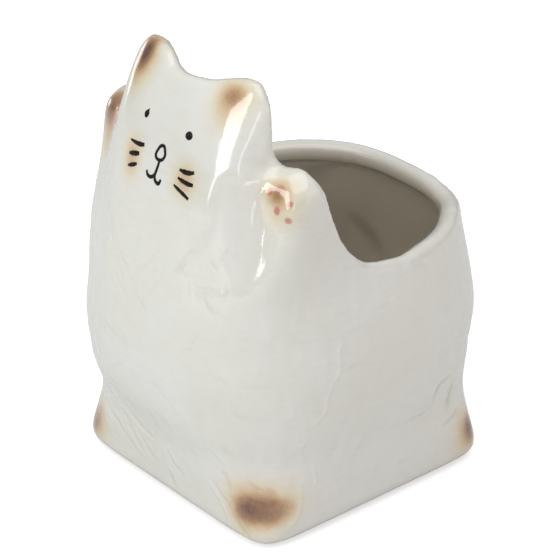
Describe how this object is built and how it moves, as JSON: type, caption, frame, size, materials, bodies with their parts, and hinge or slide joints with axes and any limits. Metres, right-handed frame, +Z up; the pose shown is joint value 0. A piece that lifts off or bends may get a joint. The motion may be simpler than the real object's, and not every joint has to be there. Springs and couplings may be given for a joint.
{
  "type": "animal shaped planter",
  "caption": "Glazed ceramic plant pot shaped like a sitting cat with raised arms, with a drain plug and base pads.",
  "frame": {"origin": "middle of the square foot, on the surface that the pads stand on", "axes": "+Z up, the cat faces -Y, its left side is +X"},
  "size_m": [0.118, 0.1305, 0.1621],
  "materials": {
    "glaze": "gloss",
    "plug_rubber": "matte",
    "felt": "matte"
  },
  "bodies": {
    "pot": {"ceramic_body": "glaze", "pad_front_left": "felt", "pad_front_right": "felt", "pad_back_left": "felt", "pad_back_right": "felt"},
    "plug": {"drain_plug": "plug_rubber"}
  },
  "joints": [
    {"name": "plug_lift", "type": "slide", "parent": "pot", "child": "plug", "axis": [0, 0, 1], "range_m": [0, 0.1]}
  ]
}
